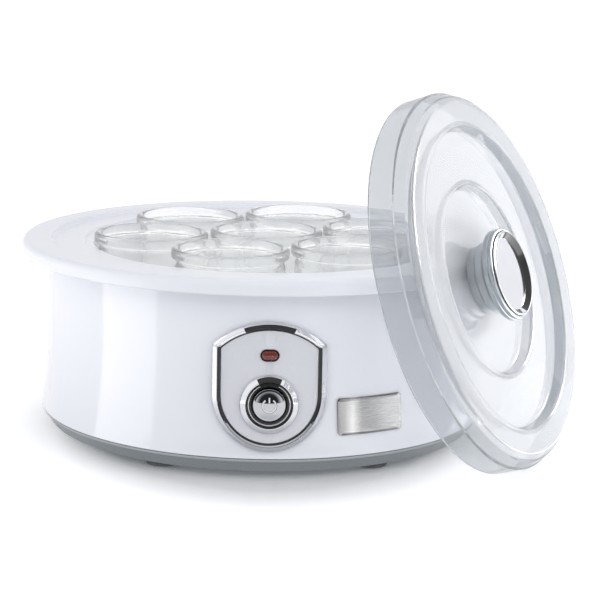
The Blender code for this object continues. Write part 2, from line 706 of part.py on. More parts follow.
def make_lid(lid_empty):
    wall = LID_WALL
    dish, plate, top = LID_DISH_Z, LID_PLATE_Z, LID_H
    dish_r, plate_r, shoulder_r = 44.5, LID_R - 19.5, LID_R - 6.1
    bump_r, bump = 8.8, dish + 3.2
    profile = [
        (LID_R, 0),
        (LID_R, 12.2),
        (LID_R - 1.0, 13.0),
        (LID_R - 4.4, top - 1.2),
        (shoulder_r, top),
        (plate_r + 1.6, top),
        (plate_r, plate),
        (dish_r + 1.8, plate + 0.5),
        (dish_r, dish),
        (bump_r + 0.6, dish),
        (bump_r, bump),
        (2.2, bump),
        (2.2, bump - wall),
        (bump_r - wall, bump - wall),
        (bump_r - wall + 0.6, dish - wall),
        (dish_r + wall, dish - wall),
        (dish_r + 1.8 + wall, plate + 0.4 - wall),
        (plate_r + wall, plate - wall),
        (plate_r + 1.6 + wall, top - wall),
        (shoulder_r - 0.9, top - wall),
        (LID_R - wall - 3.4, top - wall - 1.3),
        (LID_R - wall, 11.6),
        (LID_R - wall, 0),
    ]
    turned("lid", profile, BIG, "clear_lid", lid_empty)

    seat = dish + GAP
    crown = KNOB_CROWN
    neck, head, disc = 16.4, 22.0, 20.3
    floor, floor_r = crown - 2.4, 17.9
    knob = [
        (bump_r + 1.0, seat),
        (neck, seat),
        (neck, seat + 4.6),
        (neck + 1.2, seat + 5.4),
        (neck + 1.2, crown - 6.6),
        (head - 0.8, crown - 5.6),
        (head, crown - 4.8),
        (head, crown - 0.8),
        (head - 0.7, crown),
        (disc + 0.3, crown),
        (floor_r, floor),
        (0, floor),
        (0, crown - 4),
        (1.9, crown - 4),
        (1.9, bump + GAP),
        (bump_r + 0.6, bump + GAP),
    ]
    # the outline touches the axis only where the screw hole ends, so it is turned from that end
    start = knob.index((0, crown - 4))
    turned("lid_knob", knob[start:] + knob[:start], MIDDLE, "knob_grey", lid_empty)
    low = floor + GAP
    face = [
        (0, low),
        (floor_r - 0.1, low),
        (disc, crown + 0.3),
        (disc, crown + 0.9),
        (disc - 0.7, crown + 1.0),
        (floor_r - 0.7, low + 0.8),
        (0, low + 0.8),
    ]
    turned("knob_disc", face, MIDDLE, "chrome", lid_empty)
    seat = bump - wall - GAP
    screw = [(0, seat - 2), (3.6, seat - 2), (4.2, seat), (1.5, seat), (1.5, crown - 5), (0, crown - 4.6)]
    turned("knob_screw", screw, TINY, "steel", lid_empty)


def main():
    for thing in list(bpy.data.objects):
        bpy.data.objects.remove(thing, do_unlink=True)

    panel = Matrix.Translation((0, -panel_radius(BUTTON_Z), BUTTON_Z))
    panel = panel @ Matrix.Rotation(math.pi / 2 - PANEL_TILT, 4, "X")
    panel_empty = frame_empty("panel_frame", panel)
    lid_empty = frame_empty("lid_frame", lid_frame())

    make_inner_tub()
    make_outer_shell(panel)
    make_base_cover()
    make_feet_and_screws()
    make_heater()
    make_inlet_and_wires()
    make_panel(panel, panel_empty)
    make_button(panel_empty)
    make_switch_and_board(panel_empty)
    make_label()
    make_jars()
    make_lid(lid_empty)


main()
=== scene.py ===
"""Looks of the yogurt maker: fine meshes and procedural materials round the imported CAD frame.

Sizes are in millimetres unless a name says otherwise; meshes are written in metres.
"""

import json
import math

import bmesh
import bpy
from mathutils import Matrix, Vector


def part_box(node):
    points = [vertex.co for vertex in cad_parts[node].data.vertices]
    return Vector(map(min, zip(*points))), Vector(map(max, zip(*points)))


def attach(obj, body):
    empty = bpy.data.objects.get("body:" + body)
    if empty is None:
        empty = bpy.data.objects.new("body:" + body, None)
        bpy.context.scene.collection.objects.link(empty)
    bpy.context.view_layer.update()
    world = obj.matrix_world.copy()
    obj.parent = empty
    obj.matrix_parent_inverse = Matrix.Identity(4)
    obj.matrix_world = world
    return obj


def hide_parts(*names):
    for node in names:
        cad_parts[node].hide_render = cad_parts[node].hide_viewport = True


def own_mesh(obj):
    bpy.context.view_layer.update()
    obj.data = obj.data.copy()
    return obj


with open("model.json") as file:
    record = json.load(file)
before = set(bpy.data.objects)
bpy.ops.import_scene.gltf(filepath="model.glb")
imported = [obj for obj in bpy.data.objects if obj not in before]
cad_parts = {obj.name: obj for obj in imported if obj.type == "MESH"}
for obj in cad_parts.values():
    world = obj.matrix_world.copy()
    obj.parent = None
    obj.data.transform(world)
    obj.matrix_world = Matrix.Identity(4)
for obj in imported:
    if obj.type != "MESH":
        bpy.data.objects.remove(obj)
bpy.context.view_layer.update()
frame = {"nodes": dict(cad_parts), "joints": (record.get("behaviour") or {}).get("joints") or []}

MM = 0.001
GAP = 0.3  # between neighbouring pieces


# ---- what the frame says ----
def box_mm(node):
    """A node's lowest and highest corners, in millimetres."""
    low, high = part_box(node)
    return Vector(low) / MM, Vector(high) / MM


def middle_mm(node):
    low, high = box_mm(node)
    return (low + high) / 2


def joint_axis(name):
    return Vector(next(j["axis"] for j in frame["joints"] if j["name"] == name))


# ---- driving dimensions ----
FLANGE_R = box_mm("inner_tub")[1].x
FLANGE_TOP = box_mm("inner_tub")[1].z
FLANGE_INNER_R = 110.6
LIP_H = 7.3
SHEET = 2.2
LEDGE_Z = FLANGE_TOP - 3.1
TUB_R = 88.5
TUB_FLOOR = 27.0  # top of the floor that the jars stand on

WALL_R = 112.0
WALL_FLARE = 3.7  # how far the wall's foot stands out
WALL_FLARE_TOP = 55.0
WALL_BOTTOM = box_mm("outer_shell")[0].z
WALL_TOP = box_mm("outer_shell")[1].z

FOOT_H = 2.7
BASE_Z = FOOT_H + GAP
BASE_FLOOR = BASE_Z + SHEET
PLATEAU_Z = box_mm("base_cover")[0].z
PLATEAU_R = 56.0  # the middle of the base, which stands lower than the rest of it

JAR_RIM_R = 28.8
JAR_R = 27.0
JAR_FOOT, JAR_TOP = (corner.z for corner in box_mm("jar_7"))
JAR_H = JAR_TOP - JAR_FOOT

LID_R = 91.5
LID_H = 20.0
LID_WALL = 2.1
LID_DISH_Z = 10.0  # top of the sunken middle
LID_PLATE_Z = 14.4
LID_FACE_UP_DEG = 19.0  # how far its outer face looks up
KNOB_CROWN = 26.0

PANEL_BOTTOM = box_mm("panel_bezel")[0].z
PANEL_TOP = box_mm("panel_bezel")[1].z
PANEL_R_BOTTOM = 115.2
PANEL_R_TOP = 112.2
PANEL_HALF_W = 26.6
PANEL_ARCH_R = 37.2
PANEL_CORNER_R = 3.5
BEZEL_W = 4.0
# half the width of the painted dark reflection across the bezel's arch
DARK_REFLECTION_ARCH_HALF_W = 11.5
PLATE_BACK = 0.4
PLATE_FRONT = 1.5
BUTTON_Z = 36.6
LAMP_Z = middle_mm("lamp_lens").z
LAMP_SIZE = (7.8, 4.5)
RING_R = 13.8
SLEEVE_R = 10.2
CAP_R = 7.7

LABEL_AZIMUTH_DEG = 25.0
LABEL_SIZE = (34.0, 17.5)
LABEL_Z = middle_mm("label_plate").z
CORD_Z = middle_mm("strain_relief").z

FINE = 192  # facets round a large turn
ROUND = 96  # facets round a small one
SMALL = 32  # facets round a post or a screw hole
PANEL_FACETS = 360  # facets round the thin sheets that are trimmed to the panel and the plate


# ---- mesh helpers ----
def filleted(points, steps=5):
    """Round an outline's corners. A point is (x, y) or (x, y, radius); each radius becomes a true arc."""
    out = []
    count = len(points)
    for i, point in enumerate(points):
        here = Vector(point[:2])
        radius = point[2] if len(point) > 2 else 0
        if not radius:
            out.append(tuple(here))
            continue
        back = Vector(points[i - 1][:2]) - here
        ahead = Vector(points[(i + 1) % count][:2]) - here
        reach = min(back.length, ahead.length) * 0.48
        back.normalize()
        ahead.normalize()
        half = back.angle(ahead) / 2
        run = min(radius / math.tan(half), reach)
        start, end, weight = here + back * run, here + ahead * run, math.sin(half)
        for k in range(steps + 1):
            t = k / steps
            a, b, c = (1 - t) ** 2, 2 * weight * t * (1 - t), t * t
            out.append(tuple((a * start + b * here + c * end) / (a + b + c)))
    return out


def add_turned(bm, profile, steps, matrix=None):
    """Turn a closed (radius, z) outline about Z; one that starts and ends at radius 0 is left open there."""
    verts = [bm.verts.new((r, 0, z)) for r, z in profile]
    on_axis = profile[0][0] == 0 and profile[-1][0] == 0
    pairs = list(zip(verts, verts[1:])) + ([] if on_axis else [(verts[-1], verts[0])])
    edges = [bm.edges.new(pair) for pair in pairs]
    before = set(bm.verts) - set(verts)
    bmesh.ops.spin(
        bm, geom=verts + edges, cent=(0, 0, 0), axis=(0, 0, 1), angle=math.tau, steps=steps, use_merge=True
    )
    made = [v for v in bm.verts if v not in before]
    bmesh.ops.remove_doubles(bm, verts=made, dist=1e-4)
    if matrix is not None:
        bmesh.ops.transform(bm, matrix=matrix, verts=[v for v in bm.verts if v not in before])


def add_loft(bm, rings, closed=False):
    """Skin rings of points that have the same count; ends are capped unless closed."""
    loops = [[bm.verts.new(p) for p in ring] for ring in rings]
    count = len(loops[0])
    pairs = list(zip(loops, loops[1:])) + ([(loops[-1], loops[0])] if closed else [])
    for low, high in pairs:
        for i in range(count):
            j = (i + 1) % count
            bm.faces.new((low[i], low[j], high[j], high[i]))
    if not closed:
        bm.faces.new(loops[0])
        bm.faces.new(loops[-1])


def add_prism(bm, outline, y_from, y_to):
    add_loft(bm, [[(x, y, z) for x, z in outline] for y in (y_from, y_to)])


def add_tube(bm, path, radius, sides):
    points = [Vector(p) for p in path]
    rings, side = [], None
    for i, point in enumerate(points):
        ahead = (points[min(i + 1, len(points) - 1)] - points[max(i - 1, 0)]).normalized()
        side = ahead.orthogonal() if side is None else side
        side = (side - ahead * side.dot(ahead)).normalized()
        other = ahead.cross(side)
        turns = [math.tau * k / sides for k in range(sides)]
        rings.append([point + radius * (math.cos(t) * side + math.sin(t) * other) for t in turns])
    add_loft(bm, rings)


def arc(cx, cy, radius, start_deg, end_deg, steps):
    turns = [math.radians(start_deg + (end_deg - start_deg) * k / steps) for k in range(steps + 1)]
    return [(cx + radius * math.cos(t), cy + radius * math.sin(t)) for t in turns]


def object_from(name, bm, matrix=None):
    """A smooth-shaded object in metres from a bmesh in millimetres."""
    bmesh.ops.recalc_face_normals(bm, faces=bm.faces)
    if matrix is not None:
        bmesh.ops.transform(bm, matrix=matrix, verts=bm.verts)
    bmesh.ops.scale(bm, vec=(MM, MM, MM), verts=bm.verts)
    mesh = bpy.data.meshes.new(name)
    bm.to_mesh(mesh)
    bm.free()
    mesh.shade_smooth()
    thing = bpy.data.objects.new(name, mesh)
    bpy.context.collection.objects.link(thing)
    return thing


def apply_modifiers(thing):
    """Bake the modifier stack into the mesh."""
    graph = bpy.context.evaluated_depsgraph_get()
    mesh = bpy.data.meshes.new_from_object(thing.evaluated_get(graph))
    thing.modifiers.clear()
    thing.data = mesh


def combine(thing, bm, operation="DIFFERENCE"):
    """Cut the solid in bm from thing, or join it on."""
    tool = object_from(thing.name + "_tool", bm)
    step = thing.modifiers.new("combine", "BOOLEAN")
    step.operation = operation
    step.object = tool
    step.solver = "EXACT"
    apply_modifiers(thing)
    bpy.data.objects.remove(tool, do_unlink=True)


def even_normals(thing):
    """Let the large faces rule the shading, so that flats stay flat beside their small rounded edges."""
    thing.data.shade_smooth()
    step = thing.modifiers.new("even_normals", "WEIGHTED_NORMAL")
    step.weight = 100
    step.keep_sharp = False
    return thing


def stand_in(thing, body, slot, look, *nodes):
    """Give a new piece its material, and let it ride, and stand for its CAD nodes."""
    if not thing.data.materials:
        thing.data.materials.append(look)
    even_normals(thing)
    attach(thing, body)
    if nodes:
        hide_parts(*nodes)
    return thing


def paint(thing, looks, chosen):
    """Give a piece several looks; chosen says which one a polygon takes."""
    for look in looks:
        thing.data.materials.append(look)
    for polygon in thing.data.polygons:
        polygon.material_index = int(chosen(polygon))


def drill(radius, low, high):
    """The outline that cuts a plain round hole."""
    return [(0, high), (radius, high), (radius, low), (0, low)]


def turned(name, profile, steps=FINE, matrix=None):
    bm = bmesh.new()
    add_turned(bm, profile, steps)
    return object_from(name, bm, matrix)


# ---- frames ----
def panel_frame():
    """Z runs out of the button, square to the panel."""
    push = joint_axis("power_press")
    tilt = math.atan2(-push.z, push.y)
    radius = panel_radius(BUTTON_Z)
    return Matrix.Translation((0, -radius, BUTTON_Z)) @ Matrix.Rotation(math.pi / 2 - tilt, 4, "X")


def lid_frame():
    """The middle of the lid's open rim; Z runs out through the knob."""
    lift = joint_axis("lid_lift")
    azimuth = math.atan2(lift.x, -lift.y)
    tip = math.pi / 2 - math.radians(LID_FACE_UP_DEG)
    turn = Matrix.Rotation(azimuth, 4, "Z") @ Matrix.Rotation(tip, 4, "X")
    lid = frame["nodes"]["lid"]
    into = turn.inverted() @ Matrix.Scale(1 / MM, 4) @ lid.matrix_world
    xs, ys, zs = zip(*(into @ vertex.co for vertex in lid.data.vertices))
    return turn @ Matrix.Translation(((min(xs) + max(xs)) / 2, (min(ys) + max(ys)) / 2, min(zs)))


def cord_frame():
    return Matrix.Translation((0, 0, CORD_Z)) @ Matrix.Rotation(-math.pi / 2, 4, "X")


def wall_radius(z):
    drop = max(0.0, (WALL_FLARE_TOP - z) / (WALL_FLARE_TOP - WALL_BOTTOM))
    return WALL_R + WALL_FLARE * drop**2


def panel_radius(z):
    share = (z - PANEL_BOTTOM) / (PANEL_TOP - PANEL_BOTTOM)
    return PANEL_R_BOTTOM + (PANEL_R_TOP - PANEL_R_BOTTOM) * share


def panel_point(x, z, depth):
    return (x, -math.sqrt((panel_radius(z) + depth) ** 2 - x**2), z)


def shield(inset, fine=4):
    """The panel's outline, drawn in by inset: a half round foot, straight sides and a shallow arch on top."""
    half = PANEL_HALF_W - inset
    arch = PANEL_ARCH_R - inset
    corner = max(1.5, PANEL_CORNER_R - inset)
    foot_z = PANEL_BOTTOM + PANEL_HALF_W
    arch_z = PANEL_TOP - PANEL_ARCH_R
    corner_x = half - corner
    corner_z = arch_z + math.sqrt((arch - corner) ** 2 - corner_x**2)
    meet = math.degrees(math.atan2(corner_z - arch_z, corner_x))
    side_steps = 3 * fine
    right = [(half, foot_z + (corner_z - foot_z) * k / side_steps) for k in range(1, side_steps)]
    points = arc(0, foot_z, half, 180, 360, 12 * fine) + right
    points += arc(corner_x, corner_z, corner, 0, meet, 2 * fine)
    points += arc(0, arch_z, arch, meet, 180 - meet, 10 * fine)[1:-1]
    points += arc(-corner_x, corner_z, corner, 180 - meet, 180, 2 * fine)
    return points + [(-x, z) for x, z in reversed(right)]


def pill(width, height, at_z, steps=16):
    half = height / 2
    reach = width / 2 - half
    return arc(reach, at_z, half, -90, 90, steps) + arc(-reach, at_z, half, 90, 270, steps)


# ---- materials ----
NOISE_SPAN = (0.3, 0.7)  # where most of a noise's values lie


def shader(name, **sockets):
    """A Principled material; keys are socket names with _ for a space."""
    made = bpy.data.materials.new(name)
    made.use_nodes = True
    principled = made.node_tree.nodes["Principled BSDF"]
    for key, value in sockets.items():
        principled.inputs[key.replace("_", " ")].default_value = value
    return made


def node(look, kind, **settings):
    made = look.node_tree.nodes.new(kind)
    for key, value in settings.items():
        setattr(made, key, value)
    return made


def link(look, source, target):
    look.node_tree.links.new(source, target)


def socket(look, name):
    return look.node_tree.nodes["Principled BSDF"].inputs[name]


def map_range(look, value, start, end, low, high):
    """Map start to end onto low to high, clamped."""
    made = node(look, "ShaderNodeMapRange")
    for key, number in (("From Min", start), ("From Max", end), ("To Min", low), ("To Max", high)):
        made.inputs[key].default_value = number
    link(look, value, made.inputs["Value"])
    return made.outputs["Result"]


def surface_point(look, scale=(1, 1, 1), shift=(0, 0, 0)):
    """Object coordinates, stretched by scale and then shifted."""
    place = node(look, "ShaderNodeTexCoord")
    mapping = node(look, "ShaderNodeMapping")
    mapping.inputs["Scale"].default_value = scale
    mapping.inputs["Location"].default_value = shift
    link(look, place.outputs["Object"], mapping.inputs["Vector"])
    return mapping.outputs["Vector"]


def noise(look, scale, detail=3.0, stretch=(1, 1, 1)):
    made = node(look, "ShaderNodeTexNoise")
    made.inputs["Scale"].default_value = scale
    made.inputs["Detail"].default_value = detail
    link(look, surface_point(look, stretch), made.inputs["Vector"])
    return made.outputs["Fac"]


def roughness_from(look, value, low, high):
    link(look, map_range(look, value, *NOISE_SPAN, low, high), socket(look, "Roughness"))


def colour_from(look, value, dark, light):
    mix = node(look, "ShaderNodeValToRGB")
    for stop, position, colour in zip(mix.color_ramp.elements, NOISE_SPAN, (dark, light)):
        stop.position = position
        stop.color = (*colour, 1)
    link(look, value, mix.inputs["Fac"])
    link(look, mix.outputs["Color"], socket(look, "Base Color"))


def bump_from(look, value, distance, strength=0.5):
    bump = node(look, "ShaderNodeBump")
    bump.inputs["Strength"].default_value = strength
    bump.inputs["Distance"].default_value = distance
    link(look, value, bump.inputs["Height"])
    link(look, bump.outputs["Normal"], socket(look, "Normal"))


def darken_edges(look, tint):
    """Multiply the colour by a tint where the surface is seen edge on, as thick clear walls do."""
    colour = socket(look, "Base Color")
    slant = node(look, "ShaderNodeLayerWeight")
    darker = node(look, "ShaderNodeMix", data_type="RGBA", blend_type="MULTIPLY")
    darker.inputs["B"].default_value = (*tint, 1)
    link(look, map_range(look, slant.outputs["Facing"], 0.72, 0.97, 0.0, 1.0), darker.inputs["Factor"])
    link(look, colour.links[0].from_socket, darker.inputs["A"])
    link(look, darker.outputs["Result"], colour)


def white_gloss(name, ior, coat):
    """Moulded white plastic; ior and coat say how strongly it mirrors the room."""
    look = shader(name, IOR=ior, Coat_Weight=coat, Coat_Roughness=0.04, Subsurface_Weight=0.05)
    socket(look, "Subsurface Radius").default_value = (0.004, 0.004, 0.004)
    colour_from(look, noise(look, 9, 2), (0.825, 0.835, 0.880), (0.840, 0.850, 0.893))
    roughness_from(look, noise(look, 60, 4), 0.09, 0.17)
    bump_from(look, noise(look, 700, 2), 0.00002, 0.25)
    return look


def grey_plastic(name, dark, light):
    look = shader(name, IOR=1.5)
    colour_from(look, noise(look, 1400, 3), dark, light)
    roughness_from(look, noise(look, 120, 4), 0.30, 0.45)
    bump_from(look, noise(look, 2600, 2), 0.00004, 0.4)
    return look


def rubber():
    look = shader("rubber", IOR=1.5)
    colour_from(look, noise(look, 300, 4), (0.085, 0.090, 0.093), (0.115, 0.121, 0.125))
    roughness_from(look, noise(look, 500, 4), 0.65, 0.85)
    bump_from(look, noise(look, 1800, 3), 0.00005, 0.5)
    return look


def chrome(name, dark, light, smooth=0.03, dull=0.08):
    """Plated metal; smooth and dull are the ends of its roughness."""
    look = shader(name, Metallic=1.0)
    colour_from(look, noise(look, 40, 2), dark, light)
    roughness_from(look, noise(look, 90, 5), smooth, dull)
    bump_from(look, noise(look, 150, 2), 0.00001, 0.2)
    return look


def panel_satin():
    look = shader("panel_satin", Metallic=0.20, IOR=1.5)
    colour_from(look, noise(look, 3000, 2), (0.680, 0.688, 0.722), (0.730, 0.738, 0.772))
    roughness_from(look, noise(look, 200, 4), 0.30, 0.42)
    bump_from(look, noise(look, 4000, 2), 0.00002, 0.35)
    return look


def brushed_metal():
    """Fine lines run across, so the noise is squeezed along Z."""
    look = shader("brushed_metal", Metallic=1.0, Anisotropic=0.6)
    lines = noise(look, 60, 6, (1, 1, 60))
    colour_from(look, lines, (0.50, 0.49, 0.48), (0.76, 0.75, 0.73))
    roughness_from(look, lines, 0.22, 0.40)
    bump_from(look, lines, 0.00002, 0.4)
    return look


# painted sheen across the label: (place across the plate, brightness)
LABEL_SHEEN = ((0, 0.36), (1, 0.62), (0.15, 0.52), (0.27, 0.90), (0.40, 0.52), (0.60, 0.52))


def label_metal():
    """Smooth plated sheet: upright bands of painted sheen, at the places and in the shades of LABEL_SHEEN,
    and faint lines.
    """
    look = shader("label_metal", Metallic=1.0)
    lines = noise(look, 60, 6, (1, 1, 40))
    left, right = (corner.x * MM for corner in box_mm("label_plate"))
    split = node(look, "ShaderNodeSeparateXYZ")
    waver = node(look, "ShaderNodeMath", operation="MULTIPLY_ADD")
    waver.inputs[1].default_value = 0.05
    bands = node(look, "ShaderNodeValToRGB")
    stops = bands.color_ramp.elements
    for position, shade in LABEL_SHEEN:
        stop = stops[int(position)] if position in (0, 1) else stops.new(position)
        stop.color = (shade, shade * 0.985, shade * 0.965, 1)
    link(look, surface_point(look), split.inputs["Vector"])
    link(look, lines, waver.inputs[0])
    link(look, map_range(look, split.outputs["X"], left, right, 0.0, 1.0), waver.inputs[2])
    link(look, waver.outputs["Value"], bands.inputs["Fac"])
    link(look, bands.outputs["Color"], socket(look, "Base Color"))
    roughness_from(look, lines, 0.20, 0.30)
    bump_from(look, lines, 0.00001, 0.15)
    return look


def red_lens():
    look = shader("red_lens", IOR=1.5, Transmission_Weight=0.45, Coat_Weight=0.5)
    ribs = node(look, "ShaderNodeTexWave", wave_type="BANDS", bands_direction="X")
    ribs.inputs["Scale"].default_value = 420
    link(look, surface_point(look), ribs.inputs["Vector"])
    colour_from(look, ribs.outputs["Fac"], (0.16, 0.016, 0.010), (0.34, 0.045, 0.028))
    roughness_from(look, noise(look, 300, 2), 0.08, 0.18)
    bump_from(look, ribs.outputs["Fac"], 0.0002, 0.5)
    return look


def clear_plastic(name, dark, light, clearness):
    """Slightly milky moulded plastic, greyer where seen edge on; the lid's wall copy is clearer than flat
    sheet and painted greyer as shade.
    """
    look = shader(name, IOR=1.45, Transmission_Weight=clearness)
    colour_from(look, noise(look, 6, 2), dark, light)
    darken_edges(look, (0.20, 0.215, 0.235))
    roughness_from(look, noise(look, 35, 4), 0.0, 0.03)
    bump_from(look, noise(look, 60, 2), 0.00003, 0.25)
    return look


def jar_glass():
    look = shader("jar_glass", IOR=1.35, Transmission_Weight=0.88)
    colour_from(look, noise(look, 20, 2), (0.985, 0.992, 0.992), (0.995, 1.0, 1.0))
    darken_edges(look, (0.38, 0.41, 0.43))
    roughness_from(look, noise(look, 60, 3), 0.0, 0.02)
    bump_from(look, noise(look, 55, 2), 0.0001, 0.25)
    return look


def knob_plastic():
    look = shader("knob_plastic", Metallic=0.75, IOR=1.5)
    colour_from(look, noise(look, 30, 2), (0.40, 0.43, 0.45), (0.46, 0.49, 0.51))
    roughness_from(look, noise(look, 120, 4), 0.14, 0.24)
    bump_from(look, noise(look, 500, 2), 0.00002, 0.3)
    return look


def plain(name, dark, light, rough, metallic=0.0, grain=600):
    """Small inner pieces: speckled colour, uneven gloss and a fine grain."""
    look = shader(name, Metallic=metallic)
    colour_from(look, noise(look, grain, 3), dark, light)
    roughness_from(look, noise(look, grain / 4, 3), rough * 0.8, rough * 1.2)
    bump_from(look, noise(look, grain * 2, 2), 0.00004, 0.4)
    return look


WHITE = white_gloss("white_gloss", 1.5, 0.4)
TUB_WHITE = white_gloss("tub_white", 1.3, 0.1)
GREY = grey_plastic("grey_plastic", (0.218, 0.238, 0.248), (0.250, 0.272, 0.283))
# lighter grey painted as a highlight on the tray's bevel under the wall
GREY_PAINTED_HIGHLIGHT = grey_plastic("grey_edge", (0.370, 0.395, 0.410), (0.420, 0.448, 0.465))
RUBBER = rubber()
CHROME = chrome("chrome", (0.88, 0.88, 0.90), (0.92, 0.92, 0.94))
# chrome painted darker as shade, for the lower part of the button ring
PAINTED_SHADE_CHROME = chrome("soft_chrome", (0.62, 0.63, 0.65), (0.70, 0.71, 0.73))
# rougher chrome, painted darker as shade on the bezel's sides and foot
PAINTED_SHADE_SATIN_CHROME = chrome("side_chrome", (0.52, 0.53, 0.56), (0.58, 0.59, 0.62), 0.26, 0.34)
CAP_CHROME = chrome("cap_chrome", (0.50, 0.51, 0.53), (0.55, 0.56, 0.58))
SATIN = panel_satin()
BRUSHED = brushed_metal()
LABEL_METAL = label_metal()
LENS = red_lens()
LID_CLEAR = clear_plastic("lid_clear", (0.525, 0.535, 0.552), (0.555, 0.565, 0.582), 0.68)
# a clearer copy of the lid plastic, painted greyer as shade, for its walls and fillets
LID_WALLS_PAINTED_SHADE = clear_plastic("lid_walls", (0.500, 0.520, 0.545), (0.540, 0.558, 0.582), 0.85)
GLASS = jar_glass()
KNOB = knob_plastic()
STEEL = plain("plated_steel", (0.48, 0.48, 0.49), (0.60, 0.60, 0.61), 0.28, 1.0)
ALUMINIUM = plain("aluminium", (0.66, 0.67, 0.68), (0.78, 0.79, 0.80), 0.35, 1.0, 300)
BLACK = plain("black_plastic", (0.012, 0.012, 0.013), (0.024, 0.024, 0.025), 0.45)
BOARD = plain("circuit_board", (0.03, 0.16, 0.07), (0.05, 0.24, 0.11), 0.45, 0.0, 200)
BROWN = plain("brown_wire", (0.15, 0.055, 0.02), (0.20, 0.08, 0.03), 0.5)
BLUE = plain("blue_wire", (0.02, 0.08, 0.30), (0.04, 0.11, 0.38), 0.5)
FOIL = plain("heat_foil", (0.62, 0.60, 0.54), (0.74, 0.72, 0.66), 0.5, 0.6, 250)
SIGN_WHITE = plain("sign_white", (0.78, 0.79, 0.80), (0.86, 0.87, 0.88), 0.4)
# black gloss plastic round the lamp; on the bezel, the button ring and the knob face the same black is
# painted dark reflection
BLACK_AND_DARK_REFLECTION = plain("black_gloss", (0.006, 0.006, 0.006), (0.012, 0.012, 0.012), 0.12)


# ---- tub, wall and base ----
def make_tub():
    """The tub with its flange and ledge, the four posts for the base screws and the heater's two bosses."""
    low = FLANGE_TOP - LIP_H
    step = LEDGE_Z + 1.0
    profile = filleted(
        [
            (0, TUB_FLOOR),
            (TUB_R - 1, TUB_FLOOR, 3.4),
            (TUB_R, LEDGE_Z, 0.9),
            (LID_R + 1.3, LEDGE_Z, 0.4),
            (LID_R + 1.8, step, 0.4),
            (FLANGE_INNER_R - 1.6, step, 0.9),
            (FLANGE_INNER_R, FLANGE_TOP, 0.9),
            (FLANGE_R, FLANGE_TOP, 3.6),
            (FLANGE_R, low, 1.1),
            (FLANGE_R - 2.4, low, 0.6),
            (FLANGE_R - 2.8, FLANGE_TOP - SHEET, 2.0),
            (WALL_R + 0.8, FLANGE_TOP - SHEET, 0.6),
            (WALL_R - 0.4, step - SHEET, 0.6),
            (LID_R + 2.3, step - SHEET, 1.0),
            (TUB_R + SHEET, step - SHEET - 3, 2.0),
            (TUB_R + SHEET - 1, TUB_FLOOR - 2, 3.4),
            (0, TUB_FLOOR - 2),
        ],
        7,
    )
    tub = turned("tub_and_rim", profile)
    bm = bmesh.new()
    foot, top, bore_end = BASE_FLOOR + GAP, LEDGE_Z, 22
    post = [(0, top), (4.5, top), (4.5, foot), (1.8, foot), (1.8, bore_end), (0, bore_end)]
    foot, top, bore_end = TUB_FLOOR - 8.3, TUB_FLOOR - 1, 23.4
    boss = [(0, top), (3.5, top), (3.5, foot), (1.5, foot), (1.5, bore_end), (0, bore_end)]
    for number in range(1, 5):
        at = middle_mm(f"base_screw_{number}")
        add_turned(bm, post, SMALL, Matrix.Translation((at.x, at.y, 0)))
    for number in (1, 2):
        add_turned(bm, boss, SMALL, Matrix.Translation((middle_mm(f"strap_screw_{number}").x, 0, 0)))
    combine(tub, bm, "UNION")
    stand_in(tub, "base", "white_gloss", TUB_WHITE, "inner_tub")


def make_wall(panel):
    """The flared wall, two posts for the circuit board, and holes for the button, the lamp and the cord."""
    steps = 40
    heights = [WALL_BOTTOM + (WALL_TOP - WALL_BOTTOM) * k / steps for k in range(steps + 1)]
    outer = [(wall_radius(z), z) for z in reversed(heights)]
    inner = [(wall_radius(z) - 2.4, z) for z in heights]
    outer[-1] = (*outer[-1], 0.5)
    shell = turned("side_wall", filleted(outer + inner, 3))

    bm = bmesh.new()
    post = [(0, -3.4), (2.6, -3.4), (2.6, -15.7), (1.3, -15.7), (1.3, -8), (0, -8)]
    for number in (1, 2):
        at = panel.inverted() @ middle_mm(f"board_screw_{number}")
        add_turned(bm, post, 24, panel @ Matrix.Translation((at.x, at.y, 0)))
    combine(shell, bm, "UNION")
    bm = bmesh.new()
    add_turned(bm, drill(SLEEVE_R + 0.6, -9, 6), ROUND, panel)
    width, height = LAMP_SIZE
    add_prism(bm, pill(width + 0.8, height + 0.8, LAMP_Z), -WALL_R - 5, -WALL_R + 5)
    add_turned(bm, drill(5.3, WALL_R - 8, WALL_R + 8), ROUND, cord_frame())
    combine(shell, bm)
    stand_in(shell, "base", "white_gloss", WHITE, "outer_shell")


